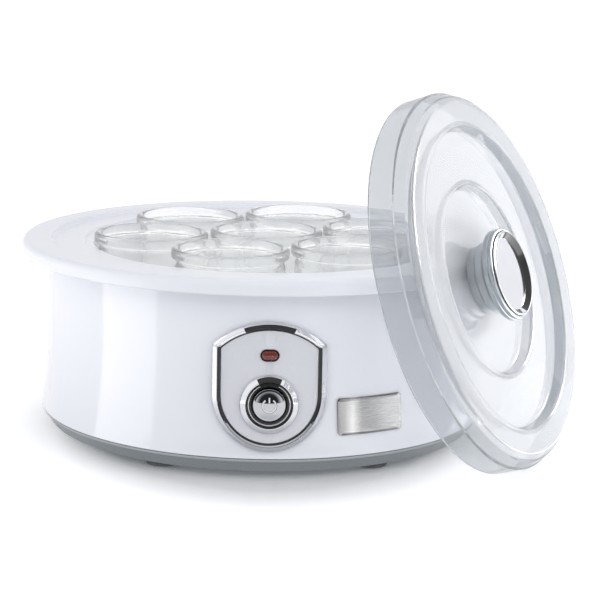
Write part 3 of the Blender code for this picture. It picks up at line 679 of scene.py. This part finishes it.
def make_base():
    """The grey tray; a bevel runs round under the wall, painted lighter grey as a highlight."""
    edge = WALL_R + WALL_FLARE - 0.3
    tongue = edge - 3.0
    profile = filleted(
        [
            (0, BASE_FLOOR - 1.8),
            (PLATEAU_R + 2, BASE_FLOOR - 1.8, 1.5),
            (PLATEAU_R + 4.5, BASE_FLOOR, 1.5),
            (tongue - 2.4, BASE_FLOOR, 1),
            (tongue - 2.0, WALL_BOTTOM + 3.7, 0.5),
            (tongue, WALL_BOTTOM + 3.7, 0.5),
            (tongue + 0.5, WALL_BOTTOM - GAP, 0.3),
            (edge, WALL_BOTTOM - GAP, 0.35),
            (edge - 0.5, WALL_BOTTOM - 1.5, 0.5),
            (edge - 1.3, WALL_BOTTOM - 1.9, 0.4),
            (edge - 4.6, BASE_Z, 1.0),
            (PLATEAU_R + 2, BASE_Z, 1.0),
            (PLATEAU_R, PLATEAU_Z, 1.0),
            (0, PLATEAU_Z),
        ]
    )
    cover = turned("base_tray", profile)
    bm = bmesh.new()
    sink = BASE_Z + 1.2  # where the screw heads sit
    for number in range(1, 5):
        at = middle_mm(f"foot_{number}")
        add_turned(bm, drill(2.7, 1, 7), SMALL, Matrix.Translation((at.x, at.y, 0)))
        at = middle_mm(f"base_screw_{number}")
        hole = [(0, 1), (4.3, 1), (4.3, sink), (1.9, sink), (1.9, 7), (0, 7)]
        add_turned(bm, hole, SMALL, Matrix.Translation((at.x, at.y, 0)))
    combine(cover, bm)

    def in_painted_highlight(polygon):
        at = polygon.center / MM
        return at.z > WALL_BOTTOM - 1.6 and at.xy.length > edge - 1.0

    paint(cover, (GREY, GREY_PAINTED_HIGHLIGHT), in_painted_highlight)
    stand_in(cover, "base", "grey_base", GREY, "base_cover")


def make_feet():
    profile = filleted(
        [
            (0, 0.5),
            (4.6, 0.5, 0.3),
            (5.0, 0, 0.3),
            (8, 0, 0.9),
            (7.6, FOOT_H, 0.4),
            (2.3, FOOT_H, 0.2),
            (2.3, 6.6, 0.6),
            (0, 6.6),
        ]
    )
    for number in range(1, 5):
        at = middle_mm(f"foot_{number}")
        foot = turned(f"rubber_foot_{number}", profile, 64, Matrix.Translation((at.x, at.y, 0)))
        stand_in(foot, "base", "rubber", RUBBER, f"foot_{number}")


# ---- control panel ----
def make_bezel():
    """Chrome with an outward chamfer; below its arch it is rougher and painted darker as shade, and its inner
    slope and mid arch are painted black as a dark reflection.
    """
    outer = [(0, PLATE_BACK), (0, 1.5), (0.15, 1.8), (0.45, 2.1), (0.9, 2.4), (2.0, 3.0), (2.3, 3.05)]
    inner = [(2.7, 2.8), (3.2, 2.5), (3.7, 2.15), (BEZEL_W, 1.8), (BEZEL_W, PLATE_BACK)]
    section = outer + inner
    rings = [[panel_point(x, z, depth) for x, z in shield(inset)] for inset, depth in section]
    bm = bmesh.new()
    add_loft(bm, rings, closed=True)
    bezel = object_from("panel_frame_chrome", bm)
    arch_z, foot_z = PANEL_TOP - 12.0, PANEL_BOTTOM + 14.0

    def chosen(polygon):
        """0 bright chrome, 1 painted black as a dark reflection, 2 rougher chrome painted darker as shade."""
        inset = section[polygon.index // len(rings[0])][0]
        x, z = abs(polygon.center.x) / MM, polygon.center.z / MM
        start = 3.1 if z > arch_z or z < foot_z else 2.2
        if z > arch_z and x < DARK_REFLECTION_ARCH_HALF_W:
            start = 0.8
        if start < inset < BEZEL_W:
            return 1
        return 0 if z > arch_z + 0.8 else 2

    paint(bezel, (CHROME, BLACK_AND_DARK_REFLECTION, PAINTED_SHADE_SATIN_CHROME), chosen)
    stand_in(bezel, "base", "chrome", CHROME, "panel_bezel")


def make_panel_plate(panel):
    """A grid over the shield's bounding box, bent to the panel and trimmed by its outline."""
    heights = [PANEL_BOTTOM - 2, PANEL_TOP + 2]
    skin = [(panel_radius(z) + PLATE_FRONT, z) for z in heights]
    skin += [(panel_radius(z) + PLATE_BACK, z) for z in reversed(heights)]
    plate = turned("panel_face", skin, PANEL_FACETS)
    bm = bmesh.new()
    add_prism(bm, shield(BEZEL_W + 0.15), -130, -90)
    combine(plate, bm, "INTERSECT")
    bm = bmesh.new()
    add_turned(bm, drill(SLEEVE_R + 0.5, -9, 9), ROUND, panel)
    width, height = LAMP_SIZE
    add_prism(bm, pill(width + 1.2, height + 1.2, LAMP_Z), -130, -90)
    combine(plate, bm)
    stand_in(plate, "base", "panel_satin", SATIN, "panel_plate")


def pill_rings(steps):
    width, height = LAMP_SIZE
    rings = []
    for inset, depth in steps:
        outline = pill(width - 2 * inset, height - 2 * inset, LAMP_Z)
        rings.append([panel_point(x, z, depth) for x, z in outline])
    return rings


def make_lamp():
    bm = bmesh.new()
    dome = [(2.3 * k / 8, 1.9 + 0.7 * math.sin(math.pi / 2 * k / 8)) for k in range(9)]
    add_loft(bm, pill_rings([(0, -3.4), *dome]))
    stand_in(object_from("lamp_window", bm), "base", "red_lens", LENS, "lamp_lens")
    bm = bmesh.new()
    add_loft(bm, pill_rings([(-0.5, 0.5), (-0.5, 2.0), (-0.1, 2.0), (-0.1, 0.5)]), closed=True)
    stand_in(object_from("lamp_surround", bm), "base", "black_plastic", BLACK_AND_DARK_REFLECTION)


def make_button_ring(panel):
    """A chrome chamfer, painted black on top as a dark reflection and darker below as painted shade, round a
    well painted black as a dark reflection, with a thin bright ring in it.
    """
    profile = filleted(
        [
            (RING_R, 1.9),
            (RING_R, 2.3, 0.3),
            (RING_R - 0.4, 2.9, 0.3),
            (11.4, 4.1, 0.3),
            (11.0, 4.1, 0.2),
            (10.1, 3.0, 0.2),
            (9.7, 3.4, 0.2),
            (9.3, 2.9, 0.2),
            (CAP_R + 0.4, 2.2, 0.3),
            (CAP_R + 0.4, -6, 0.2),
            (SLEEVE_R, -6, 0.2),
            (SLEEVE_R, 1.9, 0.2),
        ],
        4,
    )
    ring = turned("button_collar", profile, ROUND, panel)
    inward = panel.inverted()

    def chosen(polygon):
        """0 bright, 1 painted black as a dark reflection, 2 chrome painted darker as shade."""
        at = (inward @ (polygon.center / MM)).xy
        on_top = abs(math.atan2(at.x, at.y)) < math.radians(28)
        if at.length < 9.4 or 10.0 < at.length < 11.1 or (on_top and at.length < 13.3):
            return 1
        return 0 if at.y > 1.0 else 2

    paint(ring, (CHROME, BLACK_AND_DARK_REFLECTION, PAINTED_SHADE_CHROME), chosen)
    stand_in(ring, "base", "chrome", CHROME, "button_ring")


def cap_height(radius):
    """The dome of the push button."""
    return 5.0 - radius**2 / 29.0


def make_button_cap(panel):
    dome = [(CAP_R * k / 12, cap_height(CAP_R * k / 12)) for k in range(12)]
    rim = [(CAP_R - 0.1, cap_height(CAP_R) + 0.25, 0.5), (CAP_R, -1.5, 0.2), (CAP_R - 1.5, -1.5, 0.2)]
    profile = filleted([*dome, *rim, (CAP_R - 1.5, 1.2, 0.3), (0, 1.2)], 4)
    cap = turned("push_button", profile, ROUND, panel)
    stand_in(cap, "button_body", "chrome", CAP_CHROME, "button_cap")


def make_power_sign(panel):
    """The generic sign, white on a dark edge: a ring open at the top, with a bar in the opening."""
    strokes = (arc(0, 0, 3.1, 125, 415, 40), [(0, 1.4 + 0.4 * k) for k in range(7)])
    layers = (("power_sign", 0.38, 0.04, SIGN_WHITE), ("power_sign_edge", 0.56, -0.26, BLACK))
    for name, radius, raised, look in layers:
        bm = bmesh.new()
        for path in strokes:
            add_tube(bm, [(x, y, cap_height(math.hypot(x, y)) + raised) for x, y in path], radius, 12)
        stand_in(object_from(name, bm, panel), "button_body", "white_gloss", look)


def make_spring(panel):
    """It stands on the switch."""
    turns, steps, radius, wire = 4.5, 24, 3.6, 0.35
    foot, head, travel = -8.7, -0.3, 2.0
    count = int(turns * steps)
    low, rise = foot + wire, head - foot - 2 * wire
    path = []
    for k in range(count + 1):
        turn = math.tau * k / steps
        path.append((radius * math.cos(turn), radius * math.sin(turn), low + rise * k / count))
    bm = bmesh.new()
    add_tube(bm, path, wire, 12)
    coil = stand_in(object_from("coil_spring", bm, panel), "base", "steel", STEEL, "button_spring")
    apply_modifiers(coil)
    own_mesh(coil)


def make_label():
    """A blank metal plate on the wall beside the panel."""
    width, height = LABEL_SIZE
    heights = [LABEL_Z + height * share / 10 for share in range(-6, 7)]
    skin = [(wall_radius(z) + 1.0, z) for z in heights]
    skin += [(wall_radius(z) + 0.4, z) for z in reversed(heights)]
    plate = turned("blank_plate", skin, PANEL_FACETS)
    half_w, half_h = width / 2, height / 2
    corners = [(-half_w, LABEL_Z - half_h, 1.5), (half_w, LABEL_Z - half_h, 1.5)]
    corners += [(half_w, LABEL_Z + half_h, 1.5), (-half_w, LABEL_Z + half_h, 1.5)]
    bm = bmesh.new()
    add_prism(bm, filleted(corners), -130, -90)
    combine(plate, bm, "INTERSECT")
    plate.data.transform(Matrix.Rotation(math.radians(LABEL_AZIMUTH_DEG), 4, "Z"))
    stand_in(plate, "base", "label_metal", LABEL_METAL, "label_plate")


# ---- cord bushing ----
def make_strain_relief():
    collar = 8.0
    seat = wall_radius(CORD_Z - collar) + GAP
    tail = [(5.2, seat + 2.6, 0.4)]
    ribs = 5
    for k in range(ribs):
        y = seat + 3.4 + k * 2.1
        outer = 4.9 - 0.22 * k
        groove = outer - 0.8
        tail += [(groove, y, 0.15), (groove, y + 0.7, 0.15), (outer, y + 0.8, 0.2), (outer, y + 1.9, 0.2)]
    profile = [
        (2.8, seat - 9, 0.3),
        (4.8, seat - 9, 0.3),
        (4.8, seat),
        (collar, seat, 0.2),
        (collar, seat + 1.6, 0.6),
        *tail,
        (3.9, seat + 14, 0.3),
        (2.8, seat + 14, 0.3),
    ]
    relief = turned("cord_bushing", filleted(profile, 3), 64, cord_frame())
    stand_in(relief, "base", "black_plastic", BLACK, "strain_relief")


# ---- jars ----
def make_jars():
    top = JAR_H
    profile = filleted(
        [
            (0, 1.2),
            (14, 1.1, 2),
            (17.5, 0, 1.5),
            (21.5, 0, 2.5),
            (JAR_R - 0.9, 4.0, 4.0),
            (JAR_R, 12, 6),
            (JAR_R, top - 9.5, 1.5),
            (JAR_R - 0.9, top - 7.0, 1.2),
            (JAR_R - 0.7, top - 5.6, 0.5),
            (JAR_RIM_R, top - 5.0, 1.6),
            (JAR_RIM_R, top, 2.0),
            (JAR_RIM_R - 3.6, top, 1.6),
            (JAR_R - 3.0, top - 6.0, 4.0),
            (JAR_R - 3.0, 11, 6.5),
            (JAR_R - 7, 5.0, 4.0),
            (0, 4.2),
        ],
        8,
    )
    for number in range(1, 8):
        at = middle_mm(f"jar_{number}")
        jar = turned(f"glass_jar_{number}", profile, 128, Matrix.Translation((at.x, at.y, JAR_FOOT)))
        jar.visible_shadow = False
        stand_in(jar, f"jar_body_{number}", "jar_glass", GLASS, f"jar_{number}")


# ---- lid ----
def make_lid(lid):
    wall, dish, plate, top = LID_WALL, LID_DISH_Z, LID_PLATE_Z, LID_H
    dish_r, plate_r, shoulder_r = 44.5, LID_R - 19.5, LID_R - 6.1
    bump_r, bump = 8.8, LID_DISH_Z + 3.2
    profile = filleted(
        [
            (LID_R, 0, 0.5),
            (LID_R, 12.4, 0.5),
            (LID_R - 0.9, 13.0, 0.4),
            (LID_R - 3.0, 17.6, 2.0),
            (shoulder_r, top, 1.8),
            (plate_r + 1.6, top, 0.8),
            (plate_r, plate, 0.9),
            (dish_r + 1.8, plate + 0.5, 1.0),
            (dish_r, dish, 1.2),
            (bump_r + 0.6, dish, 0.5),
            (bump_r, bump, 0.5),
            (2.2, bump, 0.2),
            (2.2, bump - wall, 0.2),
            (bump_r - wall, bump - wall, 0.5),
            (bump_r - wall + 0.6, dish - wall, 0.5),
            (dish_r + wall, dish - wall, 1.6),
            (dish_r + 1.8 + wall, plate + 0.4 - wall, 0.8),
            (plate_r + wall, plate - wall, 0.9),
            (plate_r + 1.6 + wall, top - wall, 0.6),
            (shoulder_r - 0.9, top - wall, 1.2),
            (LID_R - wall - 2.4, 16.6, 1.5),
            (LID_R - wall, 12.0, 0.8),
            (LID_R - wall, 0, 0.5),
        ],
        6,
    )
    cover = turned("clear_lid", profile, FINE, lid)
    axis = lid.to_3x3() @ Vector((0, 0, 1))
    # walls and fillets take the clearer copy, painted greyer as shade
    paint(cover, (LID_CLEAR, LID_WALLS_PAINTED_SHADE), lambda polygon: abs(polygon.normal.dot(axis)) < 0.85)
    cover.visible_shadow = False
    stand_in(cover, "lid_body", "clear_lid", LID_CLEAR, "lid")


def make_knob(lid):
    bump_r, bump = 8.8, LID_DISH_Z + 3.2
    seat = LID_DISH_Z + GAP
    crown = KNOB_CROWN
    neck, head, disc = 16.4, 22.0, 20.3
    floor, floor_r = crown - 2.4, 17.9
    profile = filleted(
        [
            (0, crown - 4),
            (1.9, crown - 4),
            (1.9, bump + GAP),
            (bump_r + 0.6, bump + GAP),
            (bump_r + 1.0, seat, 0.3),
            (neck, seat, 0.5),
            (neck, seat + 4.0, 0.5),
            (neck + 1.2, seat + 4.8, 0.5),
            (neck + 1.2, crown - 7.0, 1.2),
            (head - 0.6, crown - 5.2, 0.6),
            (head, crown - 4.6, 0.5),
            (head, crown - 2.6, 0.3),
            (head - 0.3, crown - 2.3, 0.2),
            (head, crown - 2.0, 0.3),
            (head, crown, 0.8),
            (disc + 0.3, crown, 0.3),
            (floor_r, floor),
            (0, floor),
        ]
    )
    stand_in(turned("knob_grip", profile, ROUND, lid), "lid_body", "knob_grey", KNOB, "lid_knob")
    low = floor + GAP
    outline = filleted(
        [
            (0, low),
            (floor_r - 0.1, low),
            (disc, crown + 0.3),
            (disc, crown + 0.9, 0.3),
            (disc - 0.7, crown + 1.0, 0.3),
            (floor_r - 0.7, low + 0.8, 0.3),
            *((floor_r - 1.5 - 0.8 * k, low + 0.8) for k in range(12)),
            (0, low + 0.8),
        ]
    )
    face = turned("knob_face", outline, 2 * ROUND, lid)
    inward = lid.inverted()

    def in_dark_reflection(polygon):
        """A crescent of painted dark reflection on the side that faces away from the pot."""
        at = (inward @ (polygon.center / MM)).xy
        return at.length < 19.8 and (at + Vector((5.0, 0))).length > 19.8

    # the crescent is painted dark reflection on the chrome face
    paint(face, (CHROME, BLACK_AND_DARK_REFLECTION), in_dark_reflection)
    stand_in(face, "lid_body", "chrome", CHROME, "knob_disc")


# ---- inner pieces keep their CAD shapes ----
def dress_inner_pieces():
    looks = {
        STEEL: ["heating_element", "heater_strap", "strap_screw_1", "strap_screw_2", "knob_screw"],
        ALUMINIUM: ["heater_plate"],
        BLACK: ["thermostat", "terminal_block", "switch_body", "button_plunger"],
        BRUSHED: ["thermal_fuse"],
        FOIL: ["heat_shield"],
        BOARD: ["circuit_board"],
        BROWN: ["wire_live", "wire_switched"],
        BLUE: ["wire_neutral"],
        LENS: ["neon_lamp"],
    }
    looks[STEEL] += [f"board_screw_{number}" for number in (1, 2)]
    looks[STEEL] += [f"base_screw_{number}" for number in range(1, 5)]
    for look, names in looks.items():
        for name in names:
            thing = frame["nodes"][name]
            thing.data.materials.clear()
            thing.data.materials.append(look)


# ---- stage, light and camera ----
def flat_piece(name, corners, look):
    """A flat piece of the stage, lying on or just over the ground."""
    mesh = bpy.data.meshes.new(name)
    mesh.from_pydata(corners, [], [tuple(range(len(corners)))])
    mesh.materials.append(look)
    piece = bpy.data.objects.new(name, mesh)
    bpy.context.collection.objects.link(piece)
    return piece


def make_floor():
    """White paper with a painted glow that stops in an oval round the pot, set towards the front; there the
    real shadow is left unlifted, a darker contact shadow that is partly painted. The sky lights the pot from
    below instead.
    """
    look = shader("floor_paper", Roughness=0.6, Specular_IOR_Level=0.2, Emission_Color=(1, 1, 1, 1))
    colour_from(look, noise(look, 3, 2), (0.93, 0.93, 0.93), (0.94, 0.94, 0.94))
    reach = node(look, "ShaderNodeVectorMath", operation="LENGTH")
    link(look, surface_point(look, (1.25, 1, 1), (0, 0.03, 0)), reach.inputs[0])
    # painted glow, cut away round the pot to leave a darker contact shadow
    glow = map_range(look, reach.outputs["Value"], 0.101, 0.132, 0.0, 0.35)
    link(look, glow, socket(look, "Emission Strength"))
    far = 20.0
    floor = flat_piece("floor", [(-far, -far, 0), (far, -far, 0), (far, far, 0), (-far, far, 0)], look)
    floor.visible_diffuse = False
    floor.visible_shadow = False


def make_floor_lights():
    """Two bright sheets beside the pot, out of view; the glossy wall mirrors their sharp edges."""
    near, far, up = 0.17, 0.60, 0.0005
    left = [(-near, -0.17, up), (-near, -0.074, up), (-far, -0.052, up), (-far, -0.44, up)]
    right = [(near, -0.17, up), (near, 0.02, up), (far, 0.02, up), (far, -0.46, up)]
    for name, corners, strength in (("sheet_left", left, 2.2), ("sheet_right", right, 3.6)):
        look = shader(name, Roughness=0.9, Emission_Strength=strength, Emission_Color=(1, 1, 1, 1))
        flat_piece(name, corners, look)


def ramp(tree, source, start, end, low, high):
    """Change smoothly from low to high between start and end."""
    made = tree.nodes.new("ShaderNodeMapRange")
    made.interpolation_type = "SMOOTHSTEP"
    for key, value in (("From Min", start), ("From Max", end), ("To Min", low), ("To Max", high)):
        made.inputs[key].default_value = value
    tree.links.new(source, made.inputs["Value"])
    return made.outputs["Result"]


def sky(tree, front, rest, start, end, below=1.0, above=1.0):
    """A sky that changes from front to rest between Y = start and Y = end, and dims below and overhead."""
    light = tree.nodes.new("ShaderNodeBackground")
    place = tree.nodes.new("ShaderNodeTexCoord")
    split = tree.nodes.new("ShaderNodeSeparateXYZ")
    light.inputs["Color"].default_value = (0.955, 0.965, 1.0, 1)
    tree.links.new(place.outputs["Generated"], split.inputs["Vector"])
    strength = ramp(tree, split.outputs["Y"], start, end, front, rest)
    for start_z, end_z, low, high in ((-0.15, 0.15, below, 1.0), (0.40, 0.80, 1.0, above)):
        product = tree.nodes.new("ShaderNodeMath")
        product.operation = "MULTIPLY"
        tree.links.new(strength, product.inputs[0])
        tree.links.new(ramp(tree, split.outputs["Z"], start_z, end_z, low, high), product.inputs[1])
        strength = product.outputs["Value"]
    tree.links.new(strength, light.inputs["Strength"])
    return light.outputs["Background"]


def mixed(tree, share, first, second):
    mix = tree.nodes.new("ShaderNodeMixShader")
    tree.links.new(share, mix.inputs["Fac"])
    tree.links.new(first, mix.inputs[1])
    tree.links.new(second, mix.inputs[2])
    return mix.outputs["Shader"]


def make_world():
    """Soft light for matt things, a dark room in front for shiny ones, and white to the camera and glass."""
    world = bpy.data.worlds.new("studio")
    bpy.context.scene.world = world
    world.use_nodes = True
    tree = world.node_tree
    tree.nodes.clear()
    out = tree.nodes.new("ShaderNodeOutputWorld")
    path = tree.nodes.new("ShaderNodeLightPath")
    behind_glass = tree.nodes.new("ShaderNodeMath")
    behind_glass.operation = "GREATER_THAN"
    behind_glass.inputs[1].default_value = 0.5
    tree.links.new(path.outputs["Transmission Depth"], behind_glass.inputs[0])
    white = tree.nodes.new("ShaderNodeBackground")
    white.inputs["Color"].default_value = (1, 1, 1, 1)
    soft = sky(tree, 0.89, 0.99, -1.0, -0.1, below=0.72, above=0.66)
    shiny = sky(tree, 0.03, 0.95, -0.86, -0.70)
    seen = mixed(tree, path.outputs["Is Glossy Ray"], soft, shiny)
    seen = mixed(tree, behind_glass.outputs["Value"], seen, white.outputs["Background"])
    seen = mixed(tree, path.outputs["Is Camera Ray"], seen, white.outputs["Background"])
    tree.links.new(seen, out.inputs["Surface"])


def area_light(name, position, target, size, power):
    lamp = bpy.data.lights.new(name, "AREA")
    lamp.shape = "RECTANGLE"
    lamp.size, lamp.size_y = size
    lamp.energy = power
    thing = bpy.data.objects.new(name, lamp)
    bpy.context.collection.objects.link(thing)
    thing.location = position
    aim = Vector(target) - Vector(position)
    thing.rotation_euler = aim.to_track_quat("-Z", "Y").to_euler()
    return thing


def only_for(light, lit, shading):
    """Let a light reach only some pieces, and let only some pieces cast its shadows."""
    for role, names in (("receiver_collection", lit), ("blocker_collection", shading)):
        group = bpy.data.collections.new(f"{light.name}_{role}")
        for name in names:
            group.objects.link(bpy.data.objects[name])
        setattr(light.light_linking, role, group)


def spare(light, name):
    """Keep a light off one thing."""
    group = bpy.data.collections.new(f"{light.name}_spares")
    group.objects.link(bpy.data.objects[name])
    group.collection_objects[0].light_linking.link_state = "EXCLUDE"
    light.light_linking.receiver_collection = group


def make_lights():
    area_light("left_box", (-1.30, -0.30, 0.45), (0, 0, 0.08), (0.7, 1.1), 1.2)
    area_light("right_box", (1.25, -0.55, 0.60), (0.05, 0, 0.08), (0.6, 0.9), 3.2)
    area_light("top_box", (0.0, 0.25, 1.50), (0, 0, 0.05), (1.2, 0.8), 0.6)
    front = area_light("front_box", (0.0, -1.30, 1.00), (0, 0, 0.08), (1.6, 0.8), 3.8)
    front.visible_glossy = False
    spare(front, "floor")
    low_light = area_light("knob_light", (1.12, 0.46, 0.41), (0.10, -0.10, 0.12), (0.2, 0.2), 16.0)
    only_for(low_light, ["clear_lid", "knob_grip", "knob_face"], ["knob_grip", "knob_face"])


def make_camera():
    """In front and nearly a metre off, looking down by 11.5 degrees, turned aside and rolled a little."""
    azimuth, distance, height = math.radians(-1.3), 0.951, 0.2565
    yaw, pitch, roll = math.radians(2.39), math.radians(11.515), math.radians(1.15)
    ahead = Vector((math.sin(yaw) * math.cos(pitch), math.cos(yaw) * math.cos(pitch), -math.sin(pitch)))
    level = ahead.cross(Vector((0, 0, 1))).normalized()
    above = level.cross(ahead)
    right = level * math.cos(roll) + above * math.sin(roll)
    up = right.cross(ahead)
    lens = bpy.data.cameras.new("view")
    lens.sensor_width = 36.0
    lens.lens = 111.94
    lens.clip_end = 50
    camera = bpy.data.objects.new("view", lens)
    bpy.context.collection.objects.link(camera)
    place = Matrix((right, up, -ahead)).transposed().to_4x4()
    place.translation = Vector((math.sin(azimuth) * distance, -math.cos(azimuth) * distance, height))
    camera.matrix_world = place
    bpy.context.scene.camera = camera


def set_view():
    """Plain colours, and enough bounces for jars behind a clear lid."""
    scene = bpy.context.scene
    scene.view_settings.view_transform = "Standard"
    scene.cycles.max_bounces = 20
    scene.cycles.transmission_bounces = 20
    scene.cycles.transparent_max_bounces = 16
    scene.cycles.sample_clamp_indirect = 6.0


panel_at = panel_frame()
lid_at = lid_frame()
make_tub()
make_wall(panel_at)
make_base()
make_feet()
make_bezel()
make_panel_plate(panel_at)
make_lamp()
make_button_ring(panel_at)
make_button_cap(panel_at)
make_power_sign(panel_at)
make_spring(panel_at)
make_label()
make_strain_relief()
make_jars()
make_lid(lid_at)
make_knob(lid_at)
dress_inner_pieces()
make_floor()
make_floor_lights()
make_world()
make_lights()
make_camera()
set_view()
